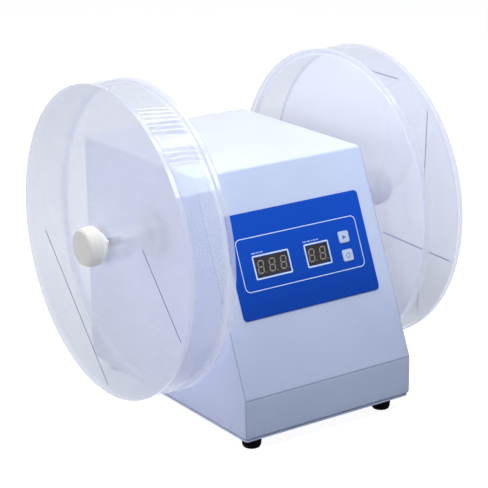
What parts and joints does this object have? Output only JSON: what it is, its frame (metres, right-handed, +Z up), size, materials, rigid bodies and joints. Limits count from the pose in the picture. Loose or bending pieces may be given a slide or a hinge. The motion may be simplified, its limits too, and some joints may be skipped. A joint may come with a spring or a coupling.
{
  "type": "tablet friability tester",
  "caption": "Bench tester for tablet wear: a sheet metal housing with a slanted control panel turns a clear round drum with a curved inner scoop at each end of one shaft.",
  "frame": {"origin": "on the table, under the middle of the shaft and of the four feet's outer box", "axes": "+X along the shaft to the right, +Y from the control panel to the back, +Z up"},
  "size_m": [0.353, 0.296, 0.3255],
  "materials": {
    "powder_coat": "pale cool white powder coat, satin",
    "zinc_steel": "zinc plated sheet and screws",
    "turned_steel": "turned and ground steel",
    "aluminium": "machined",
    "clear_acrylic": "clear cast acrylic, lightly scuffed",
    "cream_nylon": "off-white turned nylon",
    "white_nylon": "white nylon",
    "black_rubber": "matt black rubber",
    "blue_label_film": "satin printed film",
    "display_face": "dark unlit display",
    "pale_button": "pale blue-white plastic",
    "circuit_board": "green solder mask",
    "black_plastic": "black moulded plastic",
    "gear_acetal": "natural acetal",
    "motor_steel": "grey plated motor case"
  },
  "bodies": {
    "housing": {"housing_shell": "powder_coat", "rear_panel": "powder_coat", "base_plate": "zinc_steel", "foot_front_left": "black_rubber", "foot_front_right": "black_rubber", "foot_rear_left": "black_rubber", "foot_rear_right": "black_rubber", "foot_front_left_screw": "zinc_steel", "foot_front_right_screw": "zinc_steel", "foot_rear_left_screw": "zinc_steel", "foot_rear_right_screw": "zinc_steel", "rear_screw_upper_left": "zinc_steel", "rear_screw_upper_right": "zinc_steel", "rear_screw_lower_left": "zinc_steel", "rear_screw_lower_right": "zinc_steel", "control_label": "blue_label_film", "display_three_digit": "display_face", "display_two_digit": "display_face", "start_tact_switch": "black_plastic", "reset_tact_switch": "black_plastic", "control_board": "circuit_board", "board_standoff_upper_left": "zinc_steel", "board_standoff_upper_right": "zinc_steel", "board_standoff_lower_left": "zinc_steel", "board_standoff_lower_right": "zinc_steel", "left_bearing": "turned_steel", "right_bearing": "turned_steel", "left_bearing_upright": "aluminium", "right_bearing_upright": "aluminium", "gear_motor": "motor_steel", "motor_bracket": "zinc_steel", "photo_sensor": "black_plastic", "power_supply": "aluminium", "power_inlet": "black_plastic", "switch_frame": "black_plastic", "fuse_holder": "black_plastic"},
    "rotor": {"main_shaft": "turned_steel", "left_drum_hub": "aluminium", "right_drum_hub": "aluminium", "count_disc": "black_plastic", "driven_gear": "gear_acetal"},
    "left_drum": {"left_drum_back_disc": "clear_acrylic", "left_drum_wall": "clear_acrylic", "left_drum_centre_ring": "clear_acrylic", "left_drum_scoop": "clear_acrylic"},
    "right_drum": {"right_drum_back_disc": "clear_acrylic", "right_drum_wall": "clear_acrylic", "right_drum_centre_ring": "clear_acrylic", "right_drum_scoop": "clear_acrylic"},
    "left_lid": {"left_drum_lid": "clear_acrylic", "left_knob_washer": "white_nylon"},
    "right_lid": {"right_drum_lid": "clear_acrylic", "right_knob_washer": "white_nylon"},
    "left_knob": {"left_knob": "cream_nylon"},
    "right_knob": {"right_knob": "cream_nylon"},
    "pinion": {"drive_pinion": "turned_steel"},
    "start_button": {"start_button": "pale_button"},
    "reset_button": {"reset_button": "pale_button"},
    "power_rocker": {"power_rocker": "black_plastic"},
    "fuse_cap": {"fuse_cap": "black_plastic"}
  },
  "joints": [
    {"name": "drum_spin", "type": "hinge", "parent": "housing", "child": "rotor", "pos_m": [0, 0, 0.1775], "axis": [1, 0, 0], "continuous": true},
    {"name": "pinion_spin", "type": "hinge", "parent": "housing", "child": "pinion", "pos_m": [0.045, 0, 0.1175], "axis": [1, 0, 0], "continuous": true},
    {"name": "left_drum_lift_off", "type": "slide", "parent": "rotor", "child": "left_drum", "axis": [-1, 0, 0], "range_m": [0, 0.07]},
    {"name": "right_drum_lift_off", "type": "slide", "parent": "rotor", "child": "right_drum", "axis": [1, 0, 0], "range_m": [0, 0.07]},
    {"name": "left_lid_lift_off", "type": "slide", "parent": "left_drum", "child": "left_lid", "axis": [-1, 0, 0], "range_m": [0, 0.07]},
    {"name": "right_lid_lift_off", "type": "slide", "parent": "right_drum", "child": "right_lid", "axis": [1, 0, 0], "range_m": [0, 0.07]},
    {"name": "left_knob_turn", "type": "hinge", "parent": "left_lid", "child": "left_knob", "pos_m": [-0.166, 0, 0.1775], "axis": [-1, 0, 0], "continuous": true},
    {"name": "right_knob_turn", "type": "hinge", "parent": "right_lid", "child": "right_knob", "pos_m": [0.166, 0, 0.1775], "axis": [1, 0, 0], "continuous": true},
    {"name": "start_push", "type": "slide", "parent": "housing", "child": "start_button", "axis": [0, 0.9231, -0.3846], "range_m": [0, 0.0005], "stiffness_N_per_m": 400, "springref_m": -0.0005},
    {"name": "reset_push", "type": "slide", "parent": "housing", "child": "reset_button", "axis": [0, 0.9231, -0.3846], "range_m": [0, 0.0005], "stiffness_N_per_m": 400, "springref_m": -0.0005},
    {"name": "power_rocker_tilt", "type": "hinge", "parent": "housing", "child": "power_rocker", "pos_m": [-0.008, 0.1328, 0.0615], "axis": [1, 0, 0], "range_deg": [0, 20]},
    {"name": "fuse_cap_turn", "type": "hinge", "parent": "housing", "child": "fuse_cap", "pos_m": [0.022, 0.1328, 0.0615], "axis": [0, 1, 0], "range_deg": [0, 90]}
  ],
  "couplings": [
    {"joint": "pinion_spin", "follows": "drum_spin", "ratio": -3}
  ]
}
